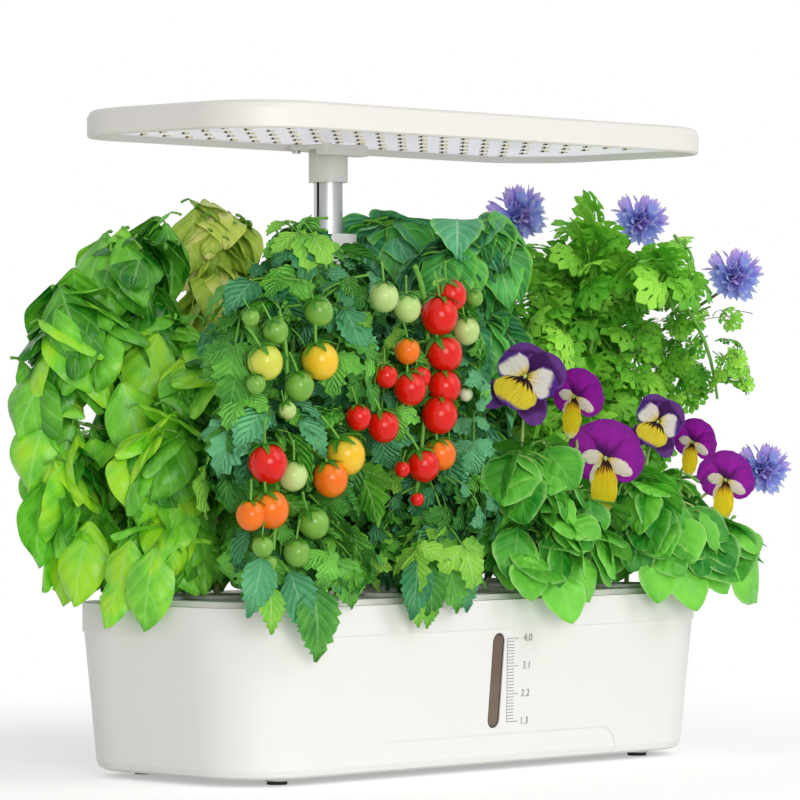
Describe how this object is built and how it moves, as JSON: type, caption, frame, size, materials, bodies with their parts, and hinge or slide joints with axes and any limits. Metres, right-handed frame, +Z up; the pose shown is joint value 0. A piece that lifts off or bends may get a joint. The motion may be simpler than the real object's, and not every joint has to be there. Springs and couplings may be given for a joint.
{
  "type": "countertop hydroponic garden",
  "caption": "Tabletop water-culture garden: tapered tank with level window, planting deck with net baskets, telescopic post and flat grow lamp over a mixed planting.",
  "frame": {"origin": "on the table plane, under the middle of the tank", "axes": "+Z up, +X along the length towards the right end as seen from the window side, -Y towards the side with the level window"},
  "size_m": [0.503, 0.2226, 0.379],
  "materials": {
    "white_plastic": "fine satin moulded plastic",
    "button_plastic": "satin",
    "basket_plastic": "satin",
    "black_rubber": "matte",
    "smoked_window": "smooth, see-through brown",
    "drawn_aluminium": "satin drawn tube",
    "white_tube": "satin powder coat",
    "steel": "bright steel",
    "black_plastic": "matte",
    "pump_plastic": "matte",
    "pipe_plastic": "satin",
    "impeller_plastic": "satin",
    "open_foam": "open-cell foam",
    "board_green": "solder mask",
    "board_white": "white solder mask",
    "chip_phosphor": "phosphor under clear resin",
    "driver_case": "satin",
    "grow_foam": "damp root sponge",
    "tomato_leaf": "leaf",
    "basil_leaf": "leaf",
    "olive_leaf": "leaf",
    "dark_leaf": "leaf",
    "pansy_leaf": "leaf",
    "parsley_leaf": "leaf",
    "blue_petal": "petal"
  },
  "bodies": {
    "tank": {"tank_shell": "white_plastic", "rubber_feet": "black_rubber", "level_window": "smoked_window", "window_gasket": "black_rubber"},
    "deck": {"planting_deck": "white_plastic", "post_base": "white_plastic", "base_screws": "steel", "control_board": "board_green", "dc_inlet": "black_plastic", "lower_tube": "white_tube", "guide_bush": "white_plastic", "pump_riser": "pipe_plastic", "pump_housing": "pump_plastic", "pump_cover": "pump_plastic", "impeller_shaft": "steel", "filter_sponge": "open_foam", "pump_lead": "black_plastic", "flap_pin": "steel", "basket_a1": "basket_plastic", "tomato_left": "tomato_leaf", "basket_a2": "basket_plastic", "basil_low": "basil_leaf", "basket_a3": "basket_plastic", "basil_tall": "basil_leaf", "basket_b1": "basket_plastic", "tomato_middle": "tomato_leaf", "basket_b2": "basket_plastic", "tomato_back": "tomato_leaf", "basket_b3": "basket_plastic", "basil_olive": "olive_leaf", "basket_c2": "basket_plastic", "aubergine": "dark_leaf", "basket_c3": "basket_plastic", "cucumber": "dark_leaf", "basket_d2": "basket_plastic", "parsley": "parsley_leaf", "basket_d3": "basket_plastic", "blue_flowers": "blue_petal", "grow_sponges": "grow_foam"},
    "lamp": {"inner_pole": "drawn_aluminium", "pole_glide": "black_plastic", "lamp_bracket": "white_plastic", "lamp_shell": "white_plastic", "light_board": "board_white", "light_chips": "chip_phosphor", "lamp_screws": "steel", "light_driver": "driver_case"},
    "power_button": {"power_button": "button_plastic"},
    "timer_button": {"timer_button": "button_plastic"},
    "filler_flap": {"filler_flap": "white_plastic"},
    "impeller": {"impeller": "impeller_plastic"},
    "pod_c1": {"basket_c1": "basket_plastic", "sponge_c1": "grow_foam", "pansy_left": "pansy_leaf"},
    "pod_d1": {"basket_d1": "basket_plastic", "sponge_d1": "grow_foam", "pansy_right": "pansy_leaf"}
  },
  "joints": [
    {"name": "deck_lift", "type": "slide", "parent": "tank", "child": "deck", "axis": [0, 0, 1], "range_m": [0, 0.12]},
    {"name": "lamp_height", "type": "slide", "parent": "deck", "child": "lamp", "axis": [0, 0, 1], "range_m": [-0.018, 0.15]},
    {"name": "pod_c1_lift", "type": "slide", "parent": "deck", "child": "pod_c1", "axis": [0, 0, 1], "range_m": [0, 0.045]},
    {"name": "pod_d1_lift", "type": "slide", "parent": "deck", "child": "pod_d1", "axis": [0, 0, 1], "range_m": [0, 0.045]},
    {"name": "filler_flap_hinge", "type": "hinge", "parent": "deck", "child": "filler_flap", "pos_m": [0, -0.0375, 0.099], "axis": [-1, 0, 0], "range_deg": [0, 90]},
    {"name": "power_button_press", "type": "slide", "parent": "deck", "child": "power_button", "axis": [0, 0, 1], "range_m": [-0.0012, 0], "stiffness_N_per_m": 800, "springref_m": 0.0004},
    {"name": "timer_button_press", "type": "slide", "parent": "deck", "child": "timer_button", "axis": [0, 0, 1], "range_m": [-0.0012, 0], "stiffness_N_per_m": 800, "springref_m": 0.0004},
    {"name": "impeller_spin", "type": "hinge", "parent": "deck", "child": "impeller", "pos_m": [0, -0.013, 0.022], "axis": [0, 1, 0], "continuous": true}
  ]
}
